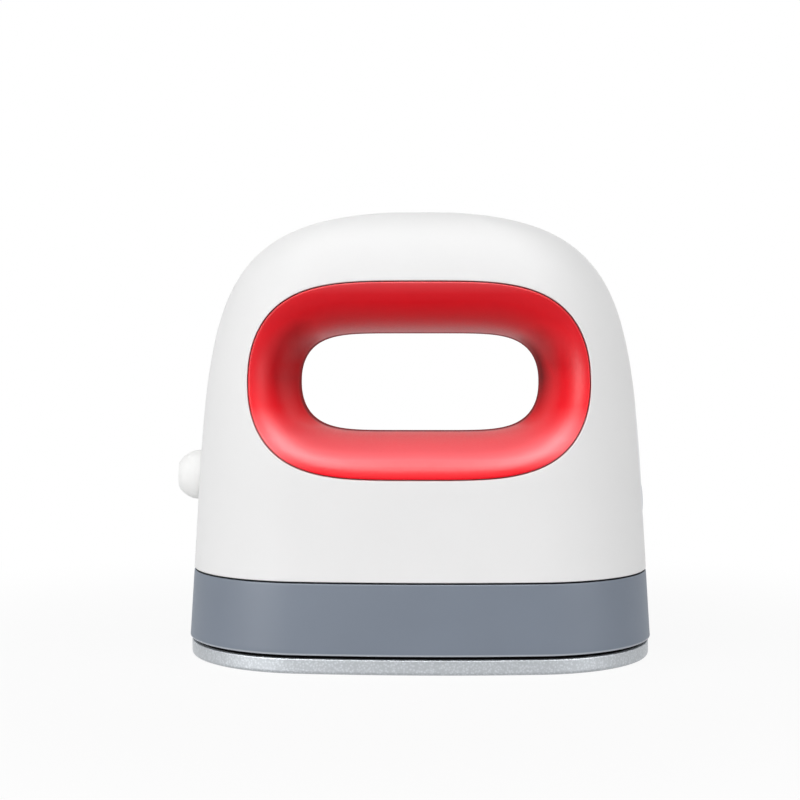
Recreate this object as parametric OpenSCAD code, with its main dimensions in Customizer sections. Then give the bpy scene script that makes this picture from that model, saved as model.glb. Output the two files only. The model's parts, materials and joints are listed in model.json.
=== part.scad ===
// Handheld mini heat press: a small heated plate under a two-part housing with a hand slot.
// Millimetres. +X is the control end, -X the cord end, -Y the front, +Z up.
// The origin is the centre of the heating face, which is the underside of the heat plate.

/* [Heat plate] */
// Length of the heating face
plate_len = 105; // [96:1:120]
// Depth of the heating face
plate_dep = 61; // [56:1:68]
// Thickness of the plate's rim
plate_t = 3.3; // [2.5:0.1:4.5]
// Radius rounded off the plate's lower edge
plate_edge = 0.8; // [0.4:0.1:1.5]
// How far the long sides bow out past the round ends
side_bulge = 1.2; // [0.8:0.1:2]
// Height of the raised island on the plate
island_t = 1.7; // [1:0.1:2]
// Width of the plain border round the island
island_inset = 8; // [7:0.5:10]

/* [Grey band] */
// Thickness of the black gasket between plate and band
gasket_t = 0.8; // [0.5:0.1:1.2]
// How far the gasket sits back from the plate's edge
gasket_back = 1; // [0.6:0.1:1.6]
// Height of the grey band
band_h = 15.2; // [14.8:0.1:18]
// How far the band's foot stands out past the plate
band_over = 0.4; // [0.2:0.1:1]
// How much the band draws in, per side, over its height
band_draft = 0.95; // [0.4:0.05:1.5]
// Wall of the band
band_wall = 2.2; // [1.8:0.1:2.6]
// Width of the band's foot flange, from the outside
foot_flange = 3.5; // [3:0.1:4]
// Height of the tongue that stands up inside the housing
tongue_h = 3.5; // [3:0.1:4]
// Thickness of that tongue
tongue_t = 1.4; // [1.2:0.1:1.8]

/* [Housing] */
// Height of the housing's top above the heating face
body_top = 100.9; // [99:0.1:112]
// Wall of the housing
shell_wall = 2.2; // [1.8:0.1:2.6]
// Open seam between housing and band
seam_gap = 0.35; // [0.2:0.05:0.6]
// How far the round ends lean in up to the handle
end_lean = 3.6; // [2:0.1:5]
// How far in the end's upper control point lies
end_shoulder = 2.1; // [0:0.1:4]
// How far the front and back lean in up to the handle
face_lean = 4.9; // [3:0.1:6]
// How far in the front's upper control point lies
face_shoulder = 7; // [5:0.1:9]
// Height of the lower control point of the outline
lean_top = 80; // [78:0.5:86]

/* [Hand slot] */
// Height of the slot's centre
slot_z = 62.7; // [62:0.1:64]
// Distance from the plate's end to the opening in the housing
slot_end = 14.9; // [14.5:0.1:17]
// Half height of the opening in the housing
rim_half_ht = 21.7; // [20.6:0.1:22]
// How far the grip narrows the slot at each end
flare_len = 10.3; // [9:0.1:11]
// How far the grip narrows the slot above and below
flare_ht = 10.5; // [9.5:0.1:11]
// How far the narrowest part of the slot lies below the opening's centre
throat_drop = 0.7; // [0:0.1:1]
// Wall of the well that the grip sits in
well_wall = 1.8; // [1.4:0.1:2.2]
// Thickness of the red grip
grip_t = 2; // [1.6:0.1:2.4]
// Groove between grip and housing
grip_gap = 0.2; // [0.15:0.05:0.5]

/* [Cord gland] */
// Height of the gland's axis
gland_z = 40.5; // [39:0.5:42]
// Radius of the gland's dome
gland_r = 5.7; // [5.4:0.1:6.2]
// How far the dome stands proud of the housing
gland_out = 4.8; // [3.5:0.1:5]
// Radius of the cord's bore
cord_bore_r = 2.9; // [2.5:0.1:3.2]
// Radius of the flange that holds the gland in
gland_flange_r = 7.8; // [7.4:0.1:8.2]
// Thickness of that flange
gland_flange_t = 1.6; // [1.2:0.1:2]
// Length of the cradle that the cord is clamped in
gland_barrel = 6; // [5.5:0.1:6.5]

/* [Control end] */
// Height of the control panel's centre
panel_z = 42.5; // [42:0.5:43.5]
// Width of the control panel
panel_w = 15; // [14:0.5:16]
// Height of the control panel
panel_h = 33; // [32:0.5:34]
// Height of the button's axis
button_z = 34.5; // [34:0.5:35]
// Radius of the button
button_r = 5.3; // [5:0.1:5.5]
// How far the button's face lies back from the housing's end
button_sink = 0.25; // [0.1:0.05:0.5]
// Travel of the button
button_travel = 0.8; // [0.4:0.1:1]
// Height of the lowest indicator window
window_z = 44.5; // [44:0.5:45]
// Distance between indicator windows
window_pitch = 4.5; // [4:0.1:4.7]
// Width of an indicator window
window_w = 5; // [4:0.1:6]
// Height of an indicator window
window_h = 1.8; // [1.4:0.1:2.2]

/* [Heater] */
// Radius of the tubular heater
tube_r = 3.25; // [3:0.05:3.5]
// Distance from the plate's centre line to each leg of the heater
leg_y = 11; // [10.5:0.5:11.5]
// Where the legs end and turn up
leg_back = 23; // [21:0.5:23.5]
// Where the legs meet the heater's round bend
leg_front = 22; // [20:0.5:23]
// Radius of the bends that turn the heater's ends up
elbow_r = 7; // [6.5:0.1:7.5]
// Width of the cast rib that holds the heater
rib_w = 9.5; // [9:0.1:10]

/* [Fasteners] */
// Shank radius of the screws that hold the plate
plate_screw_r = 1.75; // [1.5:0.05:2]
// Shank radius of the screws that join the two housing halves
shell_screw_r = 1.45; // [1.2:0.05:1.6]
// Shank radius of the small screws inside
small_screw_r = 1.2; // [1:0.05:1.3]
// Radial room round a screw's shank
screw_room = 0.05; // [0.02:0.01:0.1]

/* [Hidden] */
fit_gap = 0.15;
touch_gap = 0.1;

// Levels, from the heating face up.
gasket_z = plate_t;
band_z = gasket_z + gasket_t;
band_top = band_z + band_h;
shell_z = band_top + seam_gap;
tube_z = plate_t + island_t + 2.2;
boss_top = plate_t + 5.5;
washer_t = 0.8;
ear_z = boss_top + washer_t;
ear_t = 2.4;
pad_z = tube_z + tube_r + 0.3;
pad_t = 2;
shield_z = pad_z + pad_t;
shield_t = 0.6;
deck_t = 1.8;
deck_z = band_top - deck_t;
deck_top = deck_z + deck_t;
board_z = deck_top + 5.7;
board_t = 1.6;
board_top = board_z + board_t;

// Half sizes of the outlines.
plate_a = plate_len / 2;
plate_b = plate_dep / 2;
band_a = plate_a + band_over;
band_b = plate_b + band_over;
band_top_a = band_a - band_draft;
band_top_b = band_b - band_draft;
rim_half_len = plate_a - slot_end;
throat_half_len = rim_half_len - flare_len;
throat_half_ht = rim_half_ht - flare_ht;
rim_ring = 4;
tongue_back = rim_ring - tongue_t;
bead = 0.8;
bead_z = band_top + 2;
bead_h = 1;

// The housing's outline is one cubic curve from the seam to the top, in each direction.
curve_a = [band_top_a, band_top_a - end_lean, band_top_a - end_shoulder, 0];
curve_b = [band_top_b, band_top_b - face_lean, band_top_b - face_shoulder, 0];
curve_z = [shell_z, lean_top, body_top, body_top];

// Steps round an end, along a side, up the housing and round the slot.
end_steps = 9;
side_steps = 10;
rise_steps = 15;
slot_steps = 44;
flare_steps = 7;
// Powers of the slot's two rounded outlines, along and up.
rim_pow = [3.94, 2.22];
throat_pow = [5.6, 2.26];

// Places inside, as distances from the centre.
ear_at = [plate_a - 15.5, plate_b - 14.5];
ear_r = 4.2;
post_at = [16, plate_b - 9];
post_r = 3.4;
ear_web = [10, 6];
post_web = [3, 8];
stub_at = [24, 6.5];
stub_r = 2.2;
board_mid = 4;
board_len = 56;
board_dep = 40;
post_inset = 4;
board_post_at = [board_len / 2 - post_inset, board_dep / 2 - post_inset];
board_post_r = 2.8;
column_at = [rim_half_len - 11.5, rim_half_ht - 5.4];
column_r = 3;
column_deep = 10.5;
hook_w = 8;
hook_t = 1.2;
hook_len = 8;
hook_lip = 0.9;
hook_lip_len = 1.6;
grip_start = 0.1;
hook_gap = 0.5;
lip_room = 0.2;

// Control end, measured along X from the housing's skin.
panel_flange = 2;
panel_flange_t = 1.5;
panel_sunk = 0.6;
display_t = 1.6;
display_w = 22;
display_h = 32;
display_z = panel_z;
display_back = 9;
switch_w = 6;
switch_h = 3.5;
plunger_r = 1.6;
plunger_out = 1.4;
led_w = 3;
led_h = 1.5;

// Heater, sensor and fuse on the plate.
clip_seat = plate_t + island_t;
tube_up = 8;
tube_end_z = tube_z + elbow_r + tube_up;
terminal_x = -leg_back - elbow_r;
pin_r = 1;
pin_up = 6;
clip_t = 0.5;
clip_w = 6;
clip_screw_y = 2.8;
clip_y = -2.5;
sensor_r = 1.5;
fuse_r = 2;
sensor_x = -8;
fuse_x = 11;
clip_xs = [sensor_x, fuse_x];
// Where the thin leads rise through the layers and the deck: [x, y].
sensor_tail = 5;
fuse_pin = 7;
lead_r = 0.5;
lead_rise = 2;
sensor_lead_ys = [clip_y - 0.6, clip_y + 0.6];
fuse_lead_xs = [fuse_x - fuse_pin - lead_rise, fuse_x + fuse_pin + lead_rise];
lead_holes = concat([for (y = sensor_lead_ys) [sensor_x + sensor_tail + lead_rise, y]],
    [for (x = fuse_lead_xs) [x, clip_y]]);

// Electronics.
relay_at = [-4, 9];
relay_size = [19, 15, 10.5];
converter_at = [6, -9];
converter_base = [14, 14, 3];
converter_core = [10, 12, 6];
capacitor_at = [18, 8];
capacitor_r = 4;
capacitor_h = 10;
chips_at = [[-7, -8], [10, 8], [-20, 9]];
chip_sizes = [[8, 8, 1.5], [6, 9, 1.8], [4, 6, 2.2]];
block_at = [-19, -5];
block = [9, 16, 9];
pin_top = tube_end_z + pin_up;
block_x = board_mid + block_at[0] - block[0] / 2;
block_bore_z = board_top + 4;
heater_lead_r = 1.1;
ribbon_w = 8;
ribbon_t = 0.8;
ribbon_up = 3.5;

// Places that follow the housing's skin.
skin_x = end_at(button_z);
display_x = end_at(display_z) - display_back;
switch_front = display_x + switch_h;
plunger_top = switch_front + plunger_out;
// Axis of the round end at the controls, from which its skin is swept.
end_axis = end_x(end_at(panel_z), body_ring(body_t(panel_z), 0)[1]);

// Cord gland, along X from its tip.
gland_skin = -end_at(gland_z);
gland_tip = gland_skin - gland_out;
dome_mid = gland_tip + sqrt(pow(gland_r, 2) - pow(cord_bore_r + 0.3, 2));
flange_front = gland_skin + shell_wall + 1.4;
flange_back = flange_front + gland_flange_t;
trap_t = 2;
barrel_r = cord_bore_r + 1.8;
cradle_x = flange_back + trap_t + 0.5;
cradle_end = cradle_x + gland_barrel;
cradle_w = 15;
clamp_screw_y = 5.4;
clamp_t = 4.2;
cradle_t = 5.4;
stop_w = 2;
stop_h = 1.2;

// Windows in the well's wall for the grip's hooks: [x, z, along, depth of the housing there].
hook_sites = [[0, rim_half_ht, 0], [0, -rim_half_ht, 0], [rim_half_len, 0, 1], [-rim_half_len, 0, 1]];
function site_depth(s) = front_y(s[0], slot_z + s[1]) - grip_t;

// ---------- outlines ----------

function bez(p, t) = p[0] * pow(1 - t, 3) + 3 * p[1] * t * pow(1 - t, 2)
    + 3 * p[2] * t * t * (1 - t) + p[3] * pow(t, 3);

// The bow of the long side, which shrinks with the outline's depth.
function bow(b) = side_bulge * b / plate_b;
// Radius of the round end, its centre and the radius of the long side, for half sizes a and b.
function end_r(b) = b - bow(b);
function end_x(a, b) = a - end_r(b);
function side_r(a, b) = (pow(end_x(a, b), 2) + b * b - pow(end_r(b), 2)) / (2 * bow(b));
function side_angle(a, b) = atan2(end_x(a, b), side_r(a, b) - b);

// The front half of an oval outline, from (-a, 0) round the front to (a, 0).
function half_oval(a, b) =
    let (r = end_r(b), c = end_x(a, b), big = side_r(a, b), turn = side_angle(a, b), sweep = 90 - turn)
    concat(
        [for (i = [0:end_steps]) let (g = 180 + sweep * i / end_steps) [-c + r * cos(g), r * sin(g)]],
        [for (i = [1:side_steps - 1]) let (g = -90 - turn + 2 * turn * i / side_steps)
            [big * cos(g), big - b + big * sin(g)]],
        [for (i = [0:end_steps]) let (g = -sweep * (1 - i / end_steps)) [c + r * cos(g), r * sin(g)]]);

// The same, run on past the middle plane, for a cut that has to cross it.
function half_oval_past(a, b, past) = concat([[-a, past]], half_oval(a, b), [[a, past]]);

function oval(a, b) =
    let (front = half_oval(a, b), last = len(front) - 1)
    concat(front, [for (i = [last - 1:-1:1]) [front[i][0], -front[i][1]]]);

// Half sizes and height of the housing at t on its curves, drawn in by a wall.
function body_ring(t, wall) =
    [bez(curve_a - [wall, wall, wall, 0], t), bez(curve_b - [wall, wall, wall, 0], t),
        bez(curve_z - [0, 0, wall, wall], t)];

// The curves' parameter at height z, by halving.
function body_t(z, lo = 0, hi = 1, n = 22) =
    n == 0 ? (lo + hi) / 2
    : bez(curve_z, (lo + hi) / 2) < z ? body_t(z, (lo + hi) / 2, hi, n - 1)
    : body_t(z, lo, (lo + hi) / 2, n - 1);

// How far the housing's front lies from the middle plane at x and z.
function front_y(x, z) =
    let (k = body_ring(body_t(z), 0), a = k[0], b = k[1], r = end_r(b), c = end_x(a, b),
        big = side_r(a, b), u = abs(x))
    u < big * sin(side_angle(a, b)) ? sqrt(big * big - u * u) - big + b : sqrt(max(0, r * r - pow(u - c, 2)));

// How far the housing's ends lie from the middle at height z.
function end_at(z) = body_ring(body_t(z), 0)[0];
// Radius of a rounded outline with powers p along the direction (c, s), in half sizes.
function ray(c, s, p, r = 1.3, n = 9) =
    n == 0 ? r
    : let (f = pow(r * c, p[0]) + pow(r * s, p[1]) - 1,
        g = p[0] * pow(c, p[0]) * pow(r, p[0] - 1) + p[1] * pow(s, p[1]) * pow(r, p[1] - 1))
    ray(c, s, p, r - f / g, n - 1);

function slot_point(half_len, half_ht, p, g) =
    let (r = ray(abs(cos(g)), abs(sin(g)), p)) [half_len * r * cos(g), half_ht * r * sin(g)];

function slot_outline(half_len, half_ht, p) =
    [for (i = [0:slot_steps - 1]) slot_point(half_len, half_ht, p, 360 * i / slot_steps)];

function smooth(p, n) =
    [for (i = [0:len(p) - 2], k = [0:n - 1])
        let (t = k / n, a = p[max(i - 1, 0)], b = p[i], c = p[i + 1], d = p[min(i + 2, len(p) - 1)])
        0.5 * (2 * b + (c - a) * t + (2 * a - 5 * b + 4 * c - d) * t * t
            + (3 * b - a - 3 * c + d) * pow(t, 3))];

// ---------- building blocks ----------

// A solid skinned over rings of equally many points, with flat ends.
module skin(rings) {
    n = len(rings[0]);
    m = len(rings);
    polyhedron(
        points = [for (r = rings, p = r) p],
        faces = concat(
            [[for (i = [0:n - 1]) i]],
            [[for (i = [n - 1:-1:0]) (m - 1) * n + i]],
            [for (k = [0:m - 2], i = [0:n - 1])
                [k * n + i, (k + 1) * n + i, (k + 1) * n + (i + 1) % n]],
            [for (k = [0:m - 2], i = [0:n - 1])
                [k * n + i, (k + 1) * n + (i + 1) % n, k * n + (i + 1) % n]]),
        convexity = 4);
}

// The same, run on to a point at the top.
module skin_to_point(rings, tip) {
    n = len(rings[0]);
    m = len(rings);
    polyhedron(
        points = concat([for (r = rings, p = r) p], [tip]),
        faces = concat(
            [[for (i = [0:n - 1]) i]],
            [for (k = [0:m - 2], i = [0:n - 1])
                [k * n + i, (k + 1) * n + i, (k + 1) * n + (i + 1) % n]],
            [for (k = [0:m - 2], i = [0:n - 1])
                [k * n + i, (k + 1) * n + (i + 1) % n, k * n + (i + 1) % n]],
            [for (i = [0:n - 1]) [(m - 1) * n + i, m * n, (m - 1) * n + (i + 1) % n]]),
        convexity = 4);
}

function at_z(outline, z) = [for (p = outline) [p[0], p[1], z]];

// A flat oval sheet drawn in from the half sizes a and b.
module sheet(a, b, back, z, t) {
    translate([0, 0, z]) linear_extrude(t) polygon(oval(a - back, b - back));
}

// The front half of the housing's form.
module half_body() {
    skin_to_point(
        [for (i = [0:rise_steps - 1]) let (k = body_ring(i / rise_steps, 0))
            at_z(half_oval(k[0], k[1]), k[2])],
        [0, 0, body_top]);
}

// The room inside that half, which runs on below it and past the middle plane.
module half_room() {
    past = 1;
    base = body_ring(0, shell_wall);
    skin_to_point(
        concat([at_z(half_oval_past(base[0], base[1], past), shell_z - 2)],
            [for (i = [1:rise_steps - 1]) let (k = body_ring(i / rise_steps, shell_wall))
                at_z(half_oval_past(k[0], k[1], past), k[2])]),
        [0, past, body_top - shell_wall]);
}

// A prism along Y with the slot's opening grown by a margin.
module slot_prism(grow, y0, y1) {
    translate([0, y1, slot_z]) rotate([90, 0, 0]) linear_extrude(y1 - y0)
        polygon(slot_outline(rim_half_len + grow, rim_half_ht + grow, rim_pow));
}

// An upright oblong prism along X.
module oblong_x(w, h, x0, x1) {
    r = min(w, h) / 2;
    translate([x0, 0, 0]) rotate([90, 0, 90]) linear_extrude(x1 - x0) {
        square([w > h ? w - 2 * r : w, w > h ? h : h - 2 * r], center = true);
        for (s = [-1, 1]) translate([w > h ? s * (w / 2 - r) : 0, w > h ? 0 : s * (h / 2 - r)])
            circle(r, $fn = 48);
    }
}

module rod_x(r, x0, x1) {
    translate([x0, 0, 0]) rotate([0, 90, 0]) cylinder(r = r, h = x1 - x0, $fn = 64);
}

module rod_y(r, y0, y1) {
    translate([0, y0, 0]) rotate([-90, 0, 0]) cylinder(r = r, h = y1 - y0, $fn = 48);
}

// Four copies, one in each quarter.
module quarters(at) {
    for (sx = [-1, 1], sy = [-1, 1]) translate([sx * at[0], sy * at[1], 0]) children();
}

// A pan-head screw pointing down, with its head's seat at z = 0.
module screw(r, len, head_r, head_t) {
    difference() {
        union() {
            cylinder(r = head_r, h = head_t, $fn = 36);
            translate([0, 0, -len]) cylinder(r = r, h = len, $fn = 36);
        }
        for (g = [0, 90]) rotate(g) translate([-head_r * 0.6, -0.35, head_t * 0.45])
            cube([head_r * 1.2, 0.7, head_t]);
    }
}

// A round wire along a smooth route, with six sides.
module wire(route, r) {
    p = concat(smooth(route, 4), [route[len(route) - 1]]);
    n = len(p);
    skin([for (i = [0:n - 1])
        let (d = p[min(i + 1, n - 1)] - p[max(i - 1, 0)], u = d / norm(d),
            side = cross(u, abs(u[2]) > 0.9 ? [1, 0, 0] : [0, 0, 1]), v = side / norm(side), w = cross(u, v))
        [for (k = [0:5]) p[i] + r * (cos(60 * k) * v + sin(60 * k) * w)]]);
}

// Part of the round end's skin, from one depth to another, at the +X end.
module end_skin(z0, z1, from, to) {
    steps = 8;
    levels = [for (i = [0:steps]) z0 + (z1 - z0) * i / steps];
    translate([end_axis, 0, 0]) rotate([0, 0, -32]) rotate_extrude(angle = 64, $fn = 96)
        polygon(concat(
            [for (z = levels) [end_at(z) - end_axis - from, z]],
            [for (i = [steps:-1:0]) [end_at(levels[i]) - end_axis - to, levels[i]]]));
}

// ---------- hot end ----------

module heater_path(r, up) {
    for (s = [-1, 1]) translate([0, s * leg_y, tube_z]) rod_x(r, -leg_back, leg_front);
    translate([leg_front, 0, tube_z]) rotate(-90) rotate_extrude(angle = 180, $fn = 72)
        translate([leg_y, 0]) circle(r, $fn = 36);
    if (up > 0) for (s = [-1, 1]) translate([-leg_back, s * leg_y, tube_z + elbow_r]) {
        rotate([90, 0, 0]) rotate(180) rotate_extrude(angle = 90, $fn = 72)
            translate([elbow_r, 0]) circle(r, $fn = 36);
        translate([-elbow_r, 0, 0]) cylinder(r = r, h = up, $fn = 36);
    }
}

module rib_outline(grow) {
    w = rib_w / 2 + grow;
    for (s = [-1, 1]) translate([-leg_back + 2, s * leg_y - w]) square([leg_back - 2 + leg_front, 2 * w]);
    translate([leg_front, 0]) difference() {
        circle(leg_y + w, $fn = 96);
        circle(leg_y - w, $fn = 96);
        translate([-60, -30]) square([60, 60]);
    }
}

module heat_plate() color("silver") difference() {
    union() {
        skin([at_z(oval(plate_a - plate_edge, plate_b - plate_edge), 0),
            at_z(oval(plate_a - plate_edge * 0.3, plate_b - plate_edge * 0.3), plate_edge * 0.3),
            at_z(oval(plate_a, plate_b), plate_edge),
            at_z(oval(plate_a, plate_b), plate_t)]);
        sheet(plate_a, plate_b, island_inset, plate_t - 0.5, island_t + 0.5);
        translate([0, 0, plate_t + island_t - 0.5]) linear_extrude(tube_z - plate_t - island_t + 0.5)
            rib_outline(0);
        quarters(ear_at) translate([0, 0, plate_t - 0.5])
            cylinder(r = ear_r, h = boss_top - plate_t + 0.5, $fn = 48);
    }
    heater_path(tube_r + touch_gap, 0.01);
    quarters(ear_at) translate([0, 0, plate_t + 0.5])
        cylinder(r = plate_screw_r + screw_room, h = 20, $fn = 36);
    for (x = clip_xs) translate([x, clip_screw_y, plate_t])
        cylinder(r = small_screw_r + screw_room, h = 10, $fn = 36);
}

module heating_element() color("slategray") {
    difference() {
        heater_path(tube_r, tube_up);
        for (s = [-1, 1]) translate([terminal_x, s * leg_y, tube_end_z - 1.5])
            cylinder(r = tube_r - 0.6, h = 2, $fn = 36);
    }
    for (s = [-1, 1]) translate([terminal_x, s * leg_y, tube_end_z - 2])
        cylinder(r = pin_r, h = 2 + pin_up, $fn = 24);
}

module terminal_bushes() color("ivory")
    for (s = [-1, 1]) translate([terminal_x, s * leg_y, tube_end_z - 1.4]) difference() {
        union() {
            cylinder(r = tube_r - 0.6 - screw_room, h = 1.5, $fn = 36);
            translate([0, 0, 1.4 + touch_gap]) cylinder(r = tube_r, h = 1.4, $fn = 36);
        }
        translate([0, 0, -1]) cylinder(r = pin_r + screw_room, h = 6, $fn = 24);
    }

module plate_gasket() color("black") difference() {
    sheet(plate_a, plate_b, gasket_back, gasket_z, gasket_t);
    sheet(plate_a, plate_b, foot_flange - band_over, gasket_z - 1, gasket_t + 2);
}

module plate_washers() color("wheat")
    quarters(ear_at) translate([0, 0, boss_top]) difference() {
        cylinder(r = ear_r, h = washer_t, $fn = 48);
        translate([0, 0, -1]) cylinder(r = plate_screw_r + screw_room, h = 4, $fn = 36);
    }

module plate_screws() color("lightgray")
    quarters(ear_at) translate([0, 0, ear_z + ear_t])
        screw(plate_screw_r, ear_z + ear_t - plate_t - 1, plate_screw_r * 2, 2.2);

// ---------- grey band ----------

module band_form(back, foot, head) {
    edge = 0.5;
    if (back == 0)
        skin([at_z(oval(band_a - edge, band_b - edge), band_z),
            at_z(oval(band_a - edge * 0.3, band_b - edge * 0.3), band_z + edge * 0.3),
            at_z(oval(band_a, band_b), band_z + edge),
            at_z(oval(band_top_a, band_top_b), band_top)]);
    else
        skin([at_z(oval(band_a - back, band_b - back), foot),
            at_z(oval(band_top_a - back, band_top_b - back), head)]);
}

module base_band() color("slategray") {
    difference() {
        band_form(0, 0, 0);
        difference() {
            band_form(band_wall, band_z - 1, band_top + 1);
            difference() {
                sheet(band_a, band_b, 0.6, band_z - 2, 4);
                sheet(band_a, band_b, foot_flange, band_z - 3, 6);
            }
            difference() {
                sheet(band_a, band_b, 0.6, band_top - 1.6, 5);
                sheet(band_top_a, band_top_b, rim_ring, band_top - 3, 9);
            }
            quarters(ear_at) translate([0, 0, ear_z]) cylinder(r = ear_r, h = ear_t, $fn = 48);
            quarters(ear_at + ear_web / 2) translate([0, 0, ear_z + ear_t / 2])
                cube([ear_web[0], ear_web[1], ear_t], center = true);
            quarters(post_at) translate([0, 0, ear_z]) cylinder(r = post_r, h = deck_z - ear_z, $fn = 48);
            quarters([post_at[0], post_at[1] + post_web[1] / 2 + 1]) translate([0, 0, (ear_z + deck_z) / 2])
                cube([post_web[0], post_web[1], deck_z - ear_z], center = true);
        }
        quarters(ear_at) translate([0, 0, ear_z - 1])
            cylinder(r = plate_screw_r + screw_room, h = ear_t + 2, $fn = 36);
        quarters(post_at) translate([0, 0, deck_z - 7])
            cylinder(r = small_screw_r + screw_room, h = 9, $fn = 36);
    }
    difference() {
        union() {
            sheet(band_top_a, band_top_b, tongue_back, band_top - 0.5, tongue_h + 0.5);
            sheet(band_top_a, band_top_b, tongue_back - bead, bead_z, bead_h);
        }
        sheet(band_top_a, band_top_b, rim_ring, band_top - 2, tongue_h + 4);
    }
}

// ---------- insulation, deck and sensors ----------

module layer_outline(room) {
    difference() {
        polygon(oval(plate_a - 9, plate_b - 9));
        for (sx = [-1, 1], sy = [-1, 1]) {
            translate([sx * ear_at[0], sy * ear_at[1]]) circle(ear_r + room, $fn = 48);
            translate([sx * post_at[0], sy * post_at[1]]) circle(post_r + room, $fn = 48);
        }
        for (s = [-1, 1]) translate([terminal_x, s * leg_y]) {
            circle(tube_r + room, $fn = 48);
            translate([0, -tube_r - room]) square([elbow_r - room, 2 * (tube_r + room)]);
        }
        for (p = lead_holes) translate(p) circle(lead_r + room, $fn = 24);
    }
}

module insulation_pad() color("white")
    translate([0, 0, pad_z]) linear_extrude(pad_t) layer_outline(0.8);

module heat_shield() color("gainsboro")
    translate([0, 0, shield_z]) linear_extrude(shield_t) layer_outline(1);

module inner_deck() color("dimgray") difference() {
    union() {
        sheet(band_top_a, band_top_b, rim_ring + fit_gap, deck_z, deck_t);
        quarters(stub_at) translate([0, 0, shield_z + shield_t + touch_gap])
            cylinder(r = stub_r, h = deck_z - shield_z - shield_t + 0.5, $fn = 36);
        translate([board_mid, 0, 0]) quarters(board_post_at) translate([0, 0, deck_top - 0.5])
            cylinder(r = board_post_r, h = board_z - deck_top + 0.5, $fn = 36);
    }
    for (s = [-1, 1]) translate([terminal_x, s * leg_y, deck_z - 1])
        cylinder(r = tube_r + 0.8, h = deck_t + 2, $fn = 48);
    for (p = lead_holes) translate([p[0], p[1], deck_z - 1])
        cylinder(r = lead_r + 0.3, h = deck_t + 2, $fn = 24);
    quarters(post_at) translate([0, 0, deck_z - 1])
        cylinder(r = small_screw_r + screw_room, h = deck_t + 2, $fn = 36);
    translate([board_mid, 0, 0]) quarters(board_post_at) translate([0, 0, board_z - 4.5])
        cylinder(r = small_screw_r + screw_room, h = 6, $fn = 36);
}

module deck_screws() color("lightgray")
    quarters(post_at) translate([0, 0, deck_top]) screw(small_screw_r, 7.5, 2.3, 1.6);

// A thin clip that bridges a round body lying on the island.
module clip(x, r) {
    arch = r + touch_gap;
    foot_end = clip_screw_y + 2.2;
    translate([x, 0, clip_seat]) difference() {
        union() {
            translate([0, clip_y, arch]) rod_x(arch + clip_t, -clip_w / 2, clip_w / 2);
            translate([-clip_w / 2, clip_y - arch - clip_t, 0]) cube([clip_w, 2 * (arch + clip_t), arch]);
            translate([-clip_w / 2, clip_y, 0]) cube([clip_w, foot_end - clip_y, clip_t]);
        }
        translate([0, clip_y, arch]) rod_x(arch, -clip_w, clip_w);
        translate([-clip_w, clip_y - arch, -1]) cube([2 * clip_w, 2 * arch, arch + 1]);
        translate([0, clip_screw_y, -1]) cylinder(r = small_screw_r + screw_room, h = 4, $fn = 36);
    }
}

module sensor_clip() color("silver") clip(sensor_x, sensor_r);
module fuse_clip() color("silver") clip(fuse_x, fuse_r);
module clip_screws() color("lightgray")
    for (x = clip_xs) translate([x, clip_screw_y, clip_seat + clip_t]) screw(small_screw_r, 1.9, 1.9, 1.1);

module temperature_sensor() color("peru")
    translate([sensor_x, clip_y, clip_seat + sensor_r + 0.05]) {
        rod_x(sensor_r, -4, sensor_tail);
        translate([-4, 0, 0]) sphere(r = sensor_r, $fn = 48);
    }

module thermal_fuse() color("tan")
    translate([fuse_x, clip_y, clip_seat + fuse_r + 0.05]) {
        rod_x(fuse_r, -5, 5);
        rod_x(0.5, -fuse_pin, fuse_pin);
    }

// ---------- electronics ----------

module control_board() color("darkgreen") difference() {
    translate([board_mid - board_len / 2, -board_dep / 2, board_z]) cube([board_len, board_dep, board_t]);
    translate([board_mid, 0, 0]) quarters(board_post_at) translate([0, 0, board_z - 1])
        cylinder(r = small_screw_r + screw_room, h = 4, $fn = 36);
}

module board_screws() color("lightgray")
    translate([board_mid, 0, 0]) quarters(board_post_at) translate([0, 0, board_top])
        screw(small_screw_r, 5.5, 2.2, 1.4);

module on_board(at) {
    translate([board_mid + at[0], at[1], board_top]) children();
}

// A box of size s that stands on z, centred over the origin.
module standing_box(s, z = 0) {
    translate([-s[0] / 2, -s[1] / 2, z]) cube(s);
}

module relay() color("royalblue") on_board(relay_at) standing_box(relay_size);

module power_converter() color("goldenrod") on_board(converter_at) {
    standing_box(converter_base);
    standing_box(converter_core, converter_base[2]);
}

module capacitors() color("midnightblue")
    for (s = [-1, 1]) on_board([capacitor_at[0], s * capacitor_at[1]])
        cylinder(r = capacitor_r, h = capacitor_h, $fn = 48);

module terminal_block() color("seagreen") on_board(block_at) difference() {
    standing_box(block);
    for (k = [-1, 1]) {
        translate([-block[0] / 2 - 1, k * 4, 4]) rotate([0, 90, 0]) cylinder(r = 1.4, h = 5, $fn = 24);
        translate([0, k * 4, 6]) cylinder(r = 1.7, h = 5, $fn = 24);
    }
}

module board_chips() color("black")
    for (i = [0:len(chips_at) - 1]) on_board(chips_at[i]) standing_box(chip_sizes[i]);

// Each lead's route starts and ends with three points in line, so its ends are square.
module heater_leads() color("firebrick")
    for (s = [-1, 1]) {
        end_y = block_at[1] + s * 4;
        wire([for (z = [0, 0.8, 1.6]) [terminal_x, s * leg_y, pin_top + z],
            [terminal_x + 2.5, s * leg_y + (end_y - s * leg_y) * 0.4, pin_top + 3.4],
            [block_x - 3.5, end_y, block_bore_z + 0.6],
            for (x = [-1.6, 0.8, 3]) [block_x + x, end_y, block_bore_z]], heater_lead_r);
    }

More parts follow.
